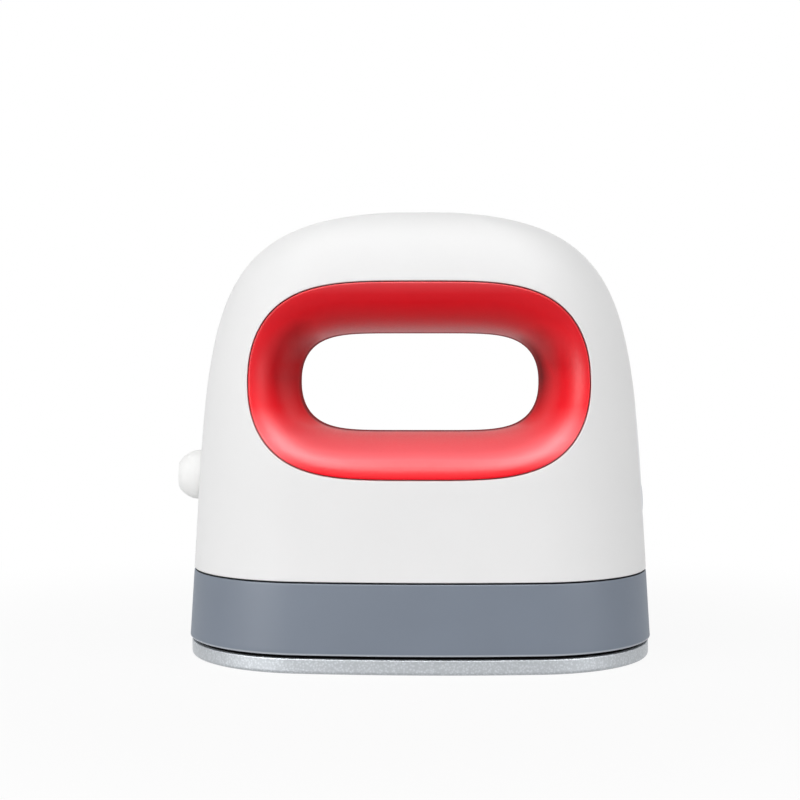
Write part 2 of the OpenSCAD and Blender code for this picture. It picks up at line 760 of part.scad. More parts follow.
// A thin lead from a level start, along X, that turns up and ends under the board.
module rising_lead(x, y, z, dir) {
    wire([for (k = [0, 0.4, 0.8]) [x + dir * k, y, z], [x + dir * lead_rise, y, z + 1.6],
        for (up = [pad_z, deck_z, board_z - 0.05]) [x + dir * lead_rise, y, up]], lead_r);
}

module sensor_leads() color("gray")
    for (y = sensor_lead_ys) rising_lead(sensor_x + sensor_tail, y, clip_seat + sensor_r + 0.05, 1);

module fuse_leads() color("khaki")
    for (s = [-1, 1]) rising_lead(fuse_x + s * fuse_pin, clip_y, clip_seat + fuse_r + 0.05, s);

module display_ribbon() color("lightgray") {
    x0 = board_mid + board_len / 2;
    x1 = display_x - display_t;
    z0 = board_top + touch_gap;
    z1 = display_z - display_h / 2 + ribbon_up;
    translate([0, ribbon_w / 2, 0]) rotate([90, 0, 0]) linear_extrude(ribbon_w) polygon([
        [x0 - 4, z0], [x0 + 1, z0], [x1 - 1.5, z1 - 0.4], [x1 - 0.05, z1],
        [x1 - 0.05, z1 + ribbon_t], [x1 - 1.8, z1 - 0.4 + ribbon_t],
        [x0 + 0.7, z0 + ribbon_t], [x0 - 4, z0 + ribbon_t]]);
}

// ---------- control end ----------

module display_board() color("darkgreen")
    translate([display_x - display_t, -display_w / 2, display_z - display_h / 2])
        cube([display_t, display_w, display_h]);

module tact_switch() color("black") difference() {
    translate([display_x, -switch_w / 2, button_z - switch_w / 2]) cube([switch_h, switch_w, switch_w]);
    translate([0, 0, button_z])
        rod_x(plunger_r + 0.06, switch_front - plunger_out - button_travel - 0.2, switch_front + 1);
}

module switch_plunger() color("ivory")
    translate([0, 0, button_z]) rod_x(plunger_r, switch_front - plunger_out, plunger_top);

module status_leds() color("white")
    for (k = [0:2]) translate([display_x, -led_w / 2, window_z + k * window_pitch - led_h / 2])
        cube([1.6, led_w, led_h]);

module indicator_lenses() color("lightyellow")
    for (k = [0:2]) intersection() {
        end_skin(window_z + k * window_pitch - window_h, window_z + k * window_pitch + window_h, 0, 5.5);
        translate([0, 0, window_z + k * window_pitch])
            oblong_x(window_w - 0.1, window_h - 0.1, skin_x - 10, skin_x + 5);
    }

module control_panel() color("whitesmoke") {
    low = panel_z - panel_h / 2 - panel_flange - 1;
    high = panel_z + panel_h / 2 + panel_flange + 1;
    difference() {
        intersection() {
            end_skin(low, high, 0, shell_wall + panel_flange_t);
            translate([0, 0, panel_z])
                oblong_x(panel_w + 2 * panel_flange, panel_h + 2 * panel_flange, skin_x - 12, skin_x + 5);
        }
        difference() {
            end_skin(low - 1, high + 1, -1, shell_wall - panel_sunk);
            translate([0, 0, panel_z]) oblong_x(panel_w, panel_h, skin_x - 13, skin_x + 6);
        }
        translate([0, 0, button_z]) rod_x(button_r + fit_gap, skin_x - 15, skin_x + 5);
        for (k = [0:2]) translate([0, 0, window_z + k * window_pitch])
            oblong_x(window_w, window_h, skin_x - 15, skin_x + 5);
    }
}

module power_button() color("lightgray") {
    face = skin_x - button_sink;
    hollow_r = button_r - 0.8;
    flange_x = skin_x - shell_wall - panel_flange_t - 0.9;
    translate([0, 0, button_z]) difference() {
        union() {
            rod_x(button_r, flange_x - 1, face - 0.8);
            translate([face - 0.8, 0, 0]) rotate([0, 90, 0])
                cylinder(r1 = button_r, r2 = button_r - 0.8, h = 0.8, $fn = 64);
            rod_x(button_r + 1, flange_x - 1, flange_x);
        }
        difference() {
            rod_x(hollow_r, flange_x - 2, skin_x - 1.6);
            rod_x(plunger_r, plunger_top + 0.05, skin_x);
        }
    }
}

// ---------- cord gland ----------

module clamp_holes(z0, z1) {
    for (s = [-1, 1]) translate([(cradle_x + cradle_end) / 2, s * clamp_screw_y, z0])
        cylinder(r = small_screw_r + screw_room, h = z1 - z0, $fn = 36);
}

// The gland's outline from its axis: a domed nose, a flange that the housing traps, and a barrel.
function gland_outline() = let (
    nose = asin((cord_bore_r + 0.3) / gland_r),
    steps = 8
) concat(
    [[0, gland_tip]],
    [for (i = [0:steps]) let (t = nose + (90 - nose) * i / steps)
        [gland_r * sin(t), dome_mid - gland_r * cos(t)]],
    [[gland_r, flange_front], [gland_flange_r, flange_front], [gland_flange_r, flange_back],
        [barrel_r, flange_back], [barrel_r, cradle_x + 0.1], [0, cradle_x + 0.1]]
);

module cord_gland() color("white") translate([0, 0, gland_z]) difference() {
    union() {
        rotate([0, 90, 0]) rotate_extrude($fn = 96) polygon(gland_outline());
        translate([cradle_x, -cradle_w / 2, -cradle_t]) cube([gland_barrel, cradle_w, cradle_t]);
        translate([flange_front, -stop_w / 2, gland_flange_r - 0.5])
            cube([gland_flange_t, stop_w, stop_h + 0.5]);
    }
    rod_x(cord_bore_r, gland_tip - 1, cradle_end + 1);
    clamp_holes(-cradle_t + 1, 1);
}

module gland_clamp() color("dimgray") translate([0, 0, gland_z]) difference() {
    translate([cradle_x + fit_gap, -cradle_w / 2, touch_gap])
        cube([gland_barrel - fit_gap, cradle_w, clamp_t]);
    rod_x(cord_bore_r, cradle_x - 1, cradle_end + 1);
    clamp_holes(-1, clamp_t + 1);
}

module clamp_screws() color("lightgray")
    for (s = [-1, 1])
        translate([(cradle_x + cradle_end) / 2, s * clamp_screw_y, gland_z + touch_gap + clamp_t])
            screw(small_screw_r, 7.5, 1.9, 1.2);

// ---------- housing ----------

// The block that traps the gland's flange, and the room cut in it.
module gland_block() {
    translate([0, 0, gland_z]) rod_x(gland_flange_r + stop_h + 2.2, gland_skin - 2, flange_back + trap_t);
}

module gland_room() {
    translate([0, 0, gland_z]) {
        rod_x(gland_r + fit_gap, gland_skin - 9, flange_front);
        rod_x(gland_flange_r + fit_gap, flange_front - fit_gap, flange_back + fit_gap);
        rod_x(barrel_r + fit_gap, flange_back, flange_back + 6);
        intersection() {
            rod_x(gland_flange_r + stop_h + fit_gap, flange_front - fit_gap, flange_back + fit_gap);
            difference() {
                translate([gland_skin, -20, -20]) cube([20, 40, 40]);
                translate([gland_skin, -stop_w / 2, -20]) cube([20, stop_w, 20]);
            }
        }
    }
}

// The opening for the control panel, with a seat for its flange inside.
module panel_room() {
    wide = 2 * fit_gap;
    seat = panel_flange + fit_gap;
    translate([0, 0, panel_z]) oblong_x(panel_w + wide, panel_h + wide, skin_x - 9, skin_x + 5);
    intersection() {
        end_skin(panel_z - panel_h / 2 - seat - 1, panel_z + panel_h / 2 + seat + 1,
            shell_wall - panel_sunk - fit_gap, shell_wall + 4);
        translate([0, 0, panel_z]) oblong_x(panel_w + 2 * seat, panel_h + 2 * seat, skin_x - 9, skin_x + 5);
    }
}

// Upright rails that hold the edges of the display board.
module rails() {
    for (s = [-1, 1]) translate([display_x - display_t - 2, s > 0 ? display_w / 2 - 2 : -display_w / 2 - 3,
        display_z - display_h / 2]) difference() {
        cube([display_t + 4, 5, display_h]);
        translate([2 - fit_gap, s > 0 ? -1 : 3 - fit_gap, -1])
            cube([display_t + 2 * fit_gap, 3 + fit_gap, display_h + 2]);
    }
    for (s = [-1, 1]) translate([display_x - display_t - 2, s > 0 ? display_w / 2 + 1 : -display_w / 2 - 13,
        display_z - display_h / 2]) cube([display_t + 4, 12, 3]);
}

module columns(y0, y1) {
    for (sx = [-1, 1], sz = [-1, 1]) translate([sx * column_at[0], 0, slot_z + sz * column_at[1]]) {
        rod_y(column_r, y0, y1);
        translate([-1.2, y0, sz > 0 ? 0 : -6]) cube([2.4, y1 - y0, 6]);
    }
}

module hook_box(site, inner, outer, y0, y1, w) {
    up = site[2] == 0;
    dir = up ? sign(site[1]) : sign(site[0]);
    translate([site[0], 0, slot_z + site[1]])
        translate([up ? -w / 2 : min(dir * inner, dir * outer), -y1,
            up ? min(dir * inner, dir * outer) : -w / 2])
            cube([up ? w : outer - inner, y1 - y0, up ? outer - inner : w]);
}

module hook_windows() {
    for (s = hook_sites) {
        d = site_depth(s);
        hook_box(s, -1, well_wall + 1, d - hook_len - lip_room, d - hook_len + hook_lip_len + lip_room,
            hook_w + 2 * lip_room);
    }
}

// One half of the housing. The keepers in the inner difference stay as ribs, wells and blocks.
module half_shell() {
    difference() {
        half_body();
        difference() {
            half_room();
            slot_prism(well_wall, -60, 2);
            gland_block();
            rails();
        }
        slot_prism(0, -60, 2);
        sheet(band_top_a, band_top_b, tongue_back - bead - lip_room,
            bead_z - lip_room, bead_h + 2 * lip_room);
        gland_room();
        panel_room();
        hook_windows();
    }
    intersection() {
        columns(-column_deep, 0);
        slot_prism(0.6, -60, 0);
    }
}

module column_cuts(r, y0, y1) {
    for (sx = [-1, 1], sz = [-1, 1]) translate([sx * column_at[0], 0, slot_z + sz * column_at[1]])
        rod_y(r, y0, y1);
}

module front_shell() color("whitesmoke") difference() {
    half_shell();
    column_cuts(shell_screw_r + screw_room, -column_deep + 2, 1);
}

module rear_shell() color("whitesmoke") difference() {
    mirror([0, 1, 0]) half_shell();
    column_cuts(shell_screw_r + screw_room, -1, column_deep + 1);
}

module shell_screws() color("lightgray")
    for (sx = [-1, 1], sz = [-1, 1])
        translate([sx * column_at[0], column_deep, slot_z + sz * column_at[1]]) rotate([-90, 0, 0])
            screw(shell_screw_r, 2 * column_deep - 3, 2.4, 1.5);

// ---------- grip ----------

// A point of the grip, at angle g round the slot, on a face set back by back, at flare angle f.
function grip_point(g, f, back) =
    let (rim = slot_point(rim_half_len - grip_gap, rim_half_ht - grip_gap, rim_pow, g),
        throat = slot_point(throat_half_len + back, throat_half_ht + back, throat_pow, g)
            - [0, throat_drop],
        deep = front_y(rim[0], slot_z + rim[1]) - back,
        p = rim + (throat - rim) * sin(f))
    [p[0], -grip_start - (deep - grip_start) * cos(f), slot_z + p[1]];

// Rings of the grip's section, swept round the slot.
module half_grip() {
    section = concat([for (i = [0:flare_steps]) [90 * i / flare_steps, 0]],
        [for (i = [flare_steps:-1:0]) [90 * i / flare_steps, grip_t]]);
    n = len(section);
    m = slot_steps;
    polyhedron(
        points = [for (k = [0:m - 1], s = section) grip_point(360 * k / m, s[0], s[1])],
        faces = concat(
            [for (k = [0:m - 1], i = [0:n - 1])
                [k * n + i, ((k + 1) % m) * n + (i + 1) % n, ((k + 1) % m) * n + i]],
            [for (k = [0:m - 1], i = [0:n - 1])
                [k * n + i, k * n + (i + 1) % n, ((k + 1) % m) * n + (i + 1) % n]]),
        convexity = 6);
    for (s = hook_sites) {
        d = site_depth(s);
        hook_box(s, -hook_gap - hook_t, -hook_gap, d - hook_len, d + 0.6, hook_w);
        hook_box(s, -hook_gap - 0.2, hook_lip - hook_gap, d - hook_len, d - hook_len + hook_lip_len, hook_w);
    }
}

module front_grip() color("crimson") half_grip();
module rear_grip() color("crimson") mirror([0, 1, 0]) half_grip();

// ---------- nodes ----------

heat_plate();
heating_element();
terminal_bushes();
plate_gasket();
base_band();
plate_washers();
plate_screws();
insulation_pad();
heat_shield();
inner_deck();
deck_screws();
temperature_sensor();
sensor_clip();
thermal_fuse();
fuse_clip();
clip_screws();
control_board();
board_screws();
relay();
power_converter();
capacitors();
terminal_block();
board_chips();
heater_leads();
sensor_leads();
fuse_leads();
display_ribbon();
display_board();
tact_switch();
switch_plunger();
status_leds();
indicator_lenses();
control_panel();
power_button();
cord_gland();
gland_clamp();
clamp_screws();
front_shell();
rear_shell();
shell_screws();
front_grip();
rear_grip();
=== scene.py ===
import json
import math

import bmesh
import bpy
import numpy as np
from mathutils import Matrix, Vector

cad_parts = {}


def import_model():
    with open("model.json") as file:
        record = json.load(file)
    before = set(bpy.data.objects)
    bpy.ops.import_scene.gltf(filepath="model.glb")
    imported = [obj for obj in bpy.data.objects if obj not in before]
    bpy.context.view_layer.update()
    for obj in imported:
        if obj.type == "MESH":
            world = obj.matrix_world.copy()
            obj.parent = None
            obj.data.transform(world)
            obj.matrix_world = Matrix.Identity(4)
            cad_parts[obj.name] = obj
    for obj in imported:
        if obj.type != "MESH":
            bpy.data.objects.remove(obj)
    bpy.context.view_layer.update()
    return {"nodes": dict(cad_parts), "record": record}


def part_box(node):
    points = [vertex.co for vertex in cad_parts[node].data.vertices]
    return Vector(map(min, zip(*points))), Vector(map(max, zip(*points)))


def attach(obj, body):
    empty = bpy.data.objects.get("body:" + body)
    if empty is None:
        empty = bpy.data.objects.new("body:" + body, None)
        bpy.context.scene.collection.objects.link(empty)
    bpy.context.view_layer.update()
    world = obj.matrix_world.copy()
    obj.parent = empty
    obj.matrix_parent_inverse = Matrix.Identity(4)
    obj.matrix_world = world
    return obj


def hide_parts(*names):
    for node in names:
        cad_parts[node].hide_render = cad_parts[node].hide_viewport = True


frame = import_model()

MM = 0.001
PRESS = "press"


# ---------- places and sizes ----------

def low(node):
    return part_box(node)[0]


def high(node):
    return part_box(node)[1]


# A stands for half a length along X and B for half a depth along Y
PLATE_A, PLATE_B = high("heat_plate")[0], high("heat_plate")[1]
GASKET_Z = low("plate_gasket")[2]
BAND_A, BAND_B, BAND_Z = high("base_band")[0], high("base_band")[1], low("base_band")[2]
SHELL_A, SHELL_B = high("front_shell")[0], -low("front_shell")[1]
SHELL_Z, SHELL_TOP = low("front_shell")[2], high("front_shell")[2]

SEAM = 0.35 * MM                 # height of the gap between band and housing
BAND_TOP = SHELL_Z - SEAM
SIDE_BULGE = 1.2 * MM            # how far the plate's long sides bow out
WALL = 2.2 * MM
WELL_WALL = 1.8 * MM
HALF_GAP = 0.03 * MM             # from the middle plane to each housing half

# The housing's outline is one cubic curve from the seam to the top, in each direction.
# Its two middle points lie this far inside the outline at the seam.
END_IN = (3.6 * MM, 2.1 * MM)
SIDE_IN = (4.9 * MM, 7 * MM)
LEAN_TOP = 80 * MM
CURVE_A = (SHELL_A, SHELL_A - END_IN[0], SHELL_A - END_IN[1], 0.0)
CURVE_B = (SHELL_B, SHELL_B - SIDE_IN[0], SHELL_B - SIDE_IN[1], 0.0)
CURVE_Z = (SHELL_Z, LEAN_TOP, SHELL_TOP, SHELL_TOP)

# The hand slot: half sizes along X and Z, and the powers of its rounded outlines
SLOT_Z = 62.7 * MM
RIM, RIM_POW = (37.4 * MM, 21.5 * MM), (3.94, 2.22)
THROAT, THROAT_POW = (27.45 * MM, 11.2 * MM), (5.6, 2.26)
THROAT_DROP = np.array((0.0, 0.7 * MM))
GRIP_T = 2 * MM
GRIP_GAP = 0.2 * MM              # the groove round the lining's rim
GRIP_HALF_GAP = 0.1 * MM         # from the middle plane to each half of the lining

# The openings in the housing's two ends, and how far their cutters reach out and in
GLAND_AXIS_Z = 40.5 * MM
GLAND_R = 5.7 * MM
PANEL_Z = 42.5 * MM
PANEL_W, PANEL_H = 15 * MM, 33 * MM
FIT = 0.15 * MM
CUT_OUT, CUT_IN = 6 * MM, 8 * MM

# Steps of the outlines: on each round end and on the long side
HOUSING_STEPS = (44, 40)
OVAL_STEPS = (36, 24)


# ---------- the housing's form ----------

def bezier(p, t):
    return (p[0] * (1 - t) ** 3 + 3 * p[1] * t * (1 - t) ** 2
            + 3 * p[2] * t * t * (1 - t) + p[3] * t ** 3)


def curves(wall):
    """The three curves of the surface that lies wall inside the housing's face."""
    return [tuple(v - wall * k for v, k in zip(curve, moved)) for curve, moved in
            ((CURVE_A, (1, 1, 1, 0)), (CURVE_B, (1, 1, 1, 0)), (CURVE_Z, (0, 0, 1, 1)))]


def oval_facts(a, b):
    """The round end's radius and centre, the long side's radius, and the angle where they meet."""
    b = np.maximum(b, 1e-9)
    bow = SIDE_BULGE * b / PLATE_B
    r = b - bow
    c = a - r
    big = (c * c + b * b - r * r) / (2 * bow)
    return r, c, big, np.arctan2(c, big - b)


def level(z, wall=0.0, halvings=44):
    """The curves' parameter at height z, found by halving."""
    cz = curves(wall)[2]
    lo, hi = np.zeros_like(z), np.ones_like(z)
    for _ in range(halvings):
        mid = (lo + hi) / 2
        below = bezier(cz, mid) < z
        lo, hi = np.where(below, mid, lo), np.where(below, hi, mid)
    return (lo + hi) / 2


def depth_at(x, z, wall=0.0):
    """How far the housing's face lies from the middle plane at x and z."""
    ca, cb, _ = curves(wall)
    t = level(z, wall)
    a, b = bezier(ca, t), bezier(cb, t)
    r, c, big, turn = oval_facts(a, b)
    u = np.abs(x)
    side = np.sqrt(np.maximum(big * big - u * u, 0)) - big + b
    end = np.sqrt(np.maximum(r * r - (u - c) ** 2, 0))
    return np.where(u < big * np.sin(turn), side, end)


def half_oval(a, b, steps):
    """The front half of the oval outline, from (-a, 0) round the front to (a, 0)."""
    end_steps, side_steps = steps
    r, c, big, turn = (float(v) for v in oval_facts(a, b))
    sweep = math.pi / 2 - turn
    pts = []
    for i in range(end_steps):
        g = math.pi + sweep * i / end_steps
        pts.append((-c + r * math.cos(g), r * math.sin(g)))
    for i in range(side_steps):
        g = -math.pi / 2 - turn + 2 * turn * i / side_steps
        pts.append((big * math.cos(g), big - b + big * math.sin(g)))
    for i in range(end_steps + 1):
        g = -sweep * (1 - i / end_steps)
        pts.append((c + r * math.cos(g), r * math.sin(g)))
    return np.array(pts)


def ray(g, p, start=1.3, rounds=24):
    """Radius, in half sizes, of a rounded outline with powers p at angle g, by Newton's method."""
    c, s = np.abs(np.cos(g)), np.abs(np.sin(g))
    r = np.full_like(c, start)
    for _ in range(rounds):
        f = (r * c) ** p[0] + (r * s) ** p[1] - 1
        d = p[0] * c ** p[0] * r ** (p[0] - 1) + p[1] * s ** p[1] * r ** (p[1] - 1)
        r = r - f / d
    return r


def slot_points(half, p, g):
    """Points (x, z) of a slot outline about its centre."""
    r = ray(g, p)
    return np.stack([half[0] * r * np.cos(g), half[1] * r * np.sin(g)], 1)


def slot_at_polar(half, p, angle):
    """The outline's points that lie at the given polar angles."""
    g = np.arctan2(np.sin(angle) / half[1], np.cos(angle) / half[0])
    return slot_points(half, p, g)


# ---------- mesh building ----------

def unit(v):
    return v / np.maximum(np.linalg.norm(v, axis=-1, keepdims=True), 1e-12)


def corner(edge, d1, d2, steps):
    """A rounded corner at edge: d1 is the way in and d2 the way out, each as long as the radius."""
    mid = edge - d1 + d2
    return [mid + math.sin(q) * d1 - math.cos(q) * d2
            for q in (math.pi / 2 * i / steps for i in range(steps + 1))]


def loop_faces(rings, length, closed=True):
    """Quads between rings of equally many points. Closed, the last ring joins the first."""
    faces = []
    for k in range(rings if closed else rings - 1):
        n = (k + 1) % rings
        for i in range(length):
            j = (i + 1) % length
            faces.append((k * length + i, k * length + j, n * length + j, n * length + i))
    return faces


def lattice(rows, mirror=False, closed=True):
    """Vertices and quads of a sweep: each row runs round the piece, mirrored in Y if asked."""
    grid = np.stack(rows)
    if mirror:
        grid = grid * (1, -1, 1)
    return grid.reshape(-1, 3), loop_faces(*grid.shape[:2], closed)


def solid(name, verts, faces):
    """A new object with a closed mesh whose faces look outwards."""
    me = bpy.data.meshes.new(name)
    me.from_pydata([tuple(v) for v in verts], [], faces)
    me.validate()
    bm = bmesh.new()
    bm.from_mesh(me)
    bmesh.ops.recalc_face_normals(bm, faces=bm.faces)
    if bm.calc_volume(signed=True) < 0:
        bmesh.ops.reverse_faces(bm, faces=bm.faces)
    bm.to_mesh(me)
    bm.free()
    o = bpy.data.objects.new(name, me)
    bpy.context.scene.collection.objects.link(o)
    return o


def shade(o, sharp=35):
    """Smooth shading that keeps edges over the angle, in degrees, sharp."""
    o.data.shade_smooth()
    o.data.set_sharp_from_angle(angle=math.radians(sharp))


def piece(name, verts, faces, slot, sharp=35):
    """A visual piece that rides on the press body."""
    o = solid(name, verts, faces)
    shade(o, sharp)
    o.data.materials.append(MATS[slot])
    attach(o, PRESS)
    return o


def cut(o, *cutters):
    """Takes the cutters out of a piece for good, and removes them from the scene."""
    for c in cutters:
        m = o.modifiers.new("cut", "BOOLEAN")
        m.operation, m.solver, m.object = "DIFFERENCE", "EXACT", c
    bpy.context.view_layer.update()
    deps = bpy.context.evaluated_depsgraph_get()
    me = bpy.data.meshes.new_from_object(o.evaluated_get(deps))
    o.modifiers.clear()
    old = o.data
    o.data = me
    me.name = old.name
    for c in cutters:
        bpy.data.objects.remove(c)


def prism_x(outline, x0, x1):
    """A prism along X over an outline of (y, z) points, as a cutter."""
    n = len(outline)
    verts = [(x, p[0], p[1]) for x in (x0, x1) for p in outline]
    faces = [tuple(range(n - 1, -1, -1)), tuple(range(n, 2 * n))]
    faces += [(i, (i + 1) % n, n + (i + 1) % n, n + i) for i in range(n)]
    return solid("cutter", verts, faces)


def circle(r, z, n=96):
    """A circle about z on the middle plane, as (y, z) points."""
    turns = (2 * math.pi * i / n for i in range(n))
    return [(r * math.cos(q), z + r * math.sin(q)) for q in turns]


def oblong(w, h, z, n=24):
    """An upright oblong of width w and height h about z, as (y, z) points."""
    r = w / 2
    turns = [math.pi * i / n for i in range(n + 1)]
    top = [(r * math.cos(q), z + h / 2 - r + r * math.sin(q)) for q in turns]
    bottom = [(-r * math.cos(q), z - h / 2 + r - r * math.sin(q)) for q in turns]
    return top + bottom


# ---------- materials ----------

def srgb(r, g, b):
    def linear(v):
        v /= 255
        return v / 12.92 if v <= 0.04045 else ((v + 0.055) / 1.055) ** 2.4
    return linear(r), linear(g), linear(b)


def scaled(color, k):
    return tuple(min(1.0, v * k) for v in color)


def put(tree, kind, inputs=None, **settings):
    """A new node with its settings. Each input takes a value, or the socket that feeds it."""
    node = tree.nodes.new("ShaderNode" + kind)
    for name, value in settings.items():
        setattr(node, name, value)
    for name, value in (inputs or {}).items():
        if isinstance(value, bpy.types.NodeSocket):
            tree.links.new(value, node.inputs[name])
        else:
            node.inputs[name].default_value = value
    return node


class Shader:
    """A material's nodes, with short calls for the ones used again and again."""

    def __init__(self, name, color, rough, metal=0.0, gloss=0.5):
        self.mat = bpy.data.materials.new(name)
        self.mat.use_nodes = True
        self.tree = self.mat.node_tree
        self.bsdf = self.tree.nodes["Principled BSDF"]
        self.bsdf.inputs["Base Color"].default_value = (*color, 1)
        self.bsdf.inputs["Roughness"].default_value = rough
        self.bsdf.inputs["Metallic"].default_value = metal
        self.bsdf.inputs["Specular IOR Level"].default_value = gloss
        self.place = put(self.tree, "TexCoord").outputs["Object"]
        self.normal = None

    def feed(self, name, value):
        self.tree.links.new(value, self.bsdf.inputs[name])

    def axes(self):
        """The place along X, Y and Z."""
        parts = put(self.tree, "SeparateXYZ", {0: self.place})
        return [parts.outputs[axis] for axis in "XYZ"]

    def noise(self, scale, detail=3.0, rough=0.55):
        return put(self.tree, "TexNoise", {"Vector": self.place, "Scale": scale, "Detail": detail,
                                           "Roughness": rough}).outputs["Fac"]

    def cells(self, scale):
        return put(self.tree, "TexVoronoi",
                   {"Vector": self.place, "Scale": scale}).outputs["Distance"]

    def remap(self, value, a, b, lo=0, hi=1):
        """The value from a to b becomes lo to hi, and stays there beyond."""
        return put(self.tree, "MapRange", {"Value": value, "From Min": a, "From Max": b,
                                           "To Min": lo, "To Max": hi}).outputs["Result"]

    def fade(self, value, a, b, lo=0, hi=1):
        """The same with a and b in millimetres."""
        return self.remap(value, a * MM, b * MM, lo, hi)

    def spread(self, noise, lo=0, hi=1):
        """Noise, which seldom leaves 0.3 to 0.7, becomes lo to hi."""
        return self.remap(noise, 0.3, 0.7, lo, hi)

    def size(self, value):
        return put(self.tree, "Math", {0: value}, operation="ABSOLUTE").outputs[0]

    def times(self, value, other):
        return put(self.tree, "Math", {0: value, 1: other}, operation="MULTIPLY").outputs[0]

    def larger(self, value, other):
        return put(self.tree, "Math", {0: value, 1: other}, operation="MAXIMUM").outputs[0]

    def mix(self, factor, under, over):
        """A colour laid over another by a factor. The lower one may be a socket."""
        if isinstance(under, tuple):
            under = (*under, 1)
        return put(self.tree, "Mix", {"Factor": factor, "A": under, "B": (*over, 1)},
                   data_type="RGBA").outputs["Result"]

    def patchy(self, color, scale, lo, hi, detail=2.0):
        """The colour times lo to hi, in large soft patches."""
        slow = self.spread(self.noise(scale, detail))
        return self.mix(slow, scaled(color, lo), scaled(color, hi))

    def bump(self, height, depth):
        """A bump on top of the ones already there, with its depth in millimetres."""
        node = put(self.tree, "Bump", {"Height": height, "Distance": depth * MM, "Strength": 1.0})
        if self.normal:
            self.tree.links.new(self.normal, node.inputs["Normal"])
        self.normal = node.outputs["Normal"]
        self.feed("Normal", self.normal)


def moulded(name, color, rough, vary, grain, depth, metal=0.0, gloss=0.5):
    """Moulded plastic, rubber or plain metal: patchy colour, uneven gloss and a fine grain."""
    s = Shader(name, color, rough, metal, gloss)
    s.feed("Base Color", s.patchy(color, 60, 1 - vary, 1 + vary))
    fine = s.noise(grain, 4.0, 0.6)
    s.feed("Roughness", s.spread(fine, max(0.02, rough - 0.05), min(1, rough + 0.05)))
    s.bump(fine, depth)
    return s.mat


def shell_plastic():
    white = srgb(233, 233, 233)
    s = Shader("shell_white", white, 0.5, gloss=0.07)
    s.feed("Base Color", s.patchy(white, 35, 0.985, 1.01))
    fine = s.noise(4200, 3.0, 0.6)
    s.feed("Roughness", s.spread(fine, 0.48, 0.58))
    s.bump(fine, 0.006)
    s.bump(s.noise(240, 2.0), 0.01)
    return s.mat


def soft_red():
    """Soft-touch red, with painted shade, painted highlights and a painted reflection that follow
    the lining's form.
    """
    red = srgb(250, 14, 34)
    s = Shader("soft_red", red, 0.36, gloss=0.2)
    x, y, z = s.axes()
    across = s.size(y)

    # the lower flare, where the fingers lie, is painted paler: a painted highlight from the light
    # above
    flare_highlight = s.times(s.fade(across, 11, 23), s.fade(across, 25.3, 27.1, 1, 0))
    tone = s.mix(s.times(s.fade(z, 57, 50, 0, 0.7), flare_highlight),
                 s.patchy(red, 70, 0.96, 1.0, 3.0), srgb(255, 123, 130))
    # the roof near the throat is painted paler: a painted reflection of the pale floor at a grazing
    # view
    tone = s.mix(s.times(s.fade(z, 66, 71), s.fade(across, 19.5, 9)), tone, srgb(225, 112, 116))
    # the rim is painted paler along the top: a painted highlight
    tone = s.mix(s.fade(z, 81.2, 83.8, 0, 0.32), tone, srgb(255, 110, 118))

    # painted shade: darker at the slot's two ends, and less so below the middle
    left = s.times(s.fade(x, -18, -27), s.fade(across, 22, 17, 0, 0.56))
    right = s.times(s.fade(x, 18, 27), s.larger(s.fade(across, 18, 6, 0, 0.88),
                                                s.fade(across, 23, 14, 0, 0.3)))
    ends = s.times(s.larger(left, right), s.fade(z, 54, 63, 0.15, 1))
    # painted shade at the upper right end as well
    upper_right_shade = s.times(s.fade(x, 19, 27),
                          s.times(s.fade(across, 25, 14, 0, 0.5), s.fade(z, 59, 66)))
    # painted shade: darker under the roof, and where the two halves meet
    roof = s.times(s.fade(z, 62, 76, 0, 0.32), s.fade(across, 22.1, 22.8, 1, 0.5))
    joint = s.fade(across, 2, 6, 1, 0)
    painted_shade = s.larger(s.larger(s.larger(ends, upper_right_shade), roof), s.times(joint, 0.8))
    # the painted shade darkens the red towards a much darker red
    s.feed("Base Color", s.mix(painted_shade, tone, scaled(red, 0.12)))

    # without gloss in much the same places as the painted shade
    near = s.fade(across, 7, 24, 1, 0)
    far_end = s.fade(s.size(x), 18, 27)
    matt = s.larger(s.times(near, s.larger(far_end, s.fade(z, 64, 74, 0, 0.4))), joint)
    grain = s.noise(2300, 4.0, 0.7)
    s.feed("Roughness", s.larger(s.spread(grain, 0.34, 0.48), s.times(matt, 0.9)))
    s.bump(grain, 0.034)
    s.bump(s.noise(700, 2.0), 0.012)
    return s.mat


def band_plastic():
    grey = srgb(115, 124, 137)
    s = Shader("band_grey", grey, 0.5, gloss=0.3)
    z = s.axes()[2]
    # the lower edge is painted paler in a thin line: a painted highlight
    edge_highlight = s.remap(z, BAND_Z + 0.5 * MM, BAND_Z + 0.25 * MM, 0, 0.6)
    tone = s.mix(edge_highlight, s.patchy(grey, 50, 0.97, 1.03), srgb(196, 200, 206))
    # the top face, inside the seam, is painted dark: painted shade in the narrow seam
    seam_shade = s.remap(z, BAND_TOP - 0.03 * MM, BAND_TOP - 0.01 * MM)
    s.feed("Base Color", s.mix(seam_shade, tone, scaled(grey, 0.1)))
    fine = s.noise(3600, 3.0, 0.6)
    s.feed("Roughness", s.spread(fine, 0.44, 0.54))
    s.bump(fine, 0.008)
    return s.mat


def plate_metal():
    grey = srgb(178, 182, 186)
    s = Shader("plate_metal", grey, 0.42, 0.7)
    spark = s.remap(s.cells(1900), 0.1, 0.6)
    s.feed("Base Color", s.mix(spark, scaled(grey, 1.12), scaled(grey, 0.86)))
    fine = s.noise(3000, 4.0, 0.7)
    s.feed("Roughness", s.spread(fine, 0.32, 0.55))
    s.bump(fine, 0.02)
    return s.mat


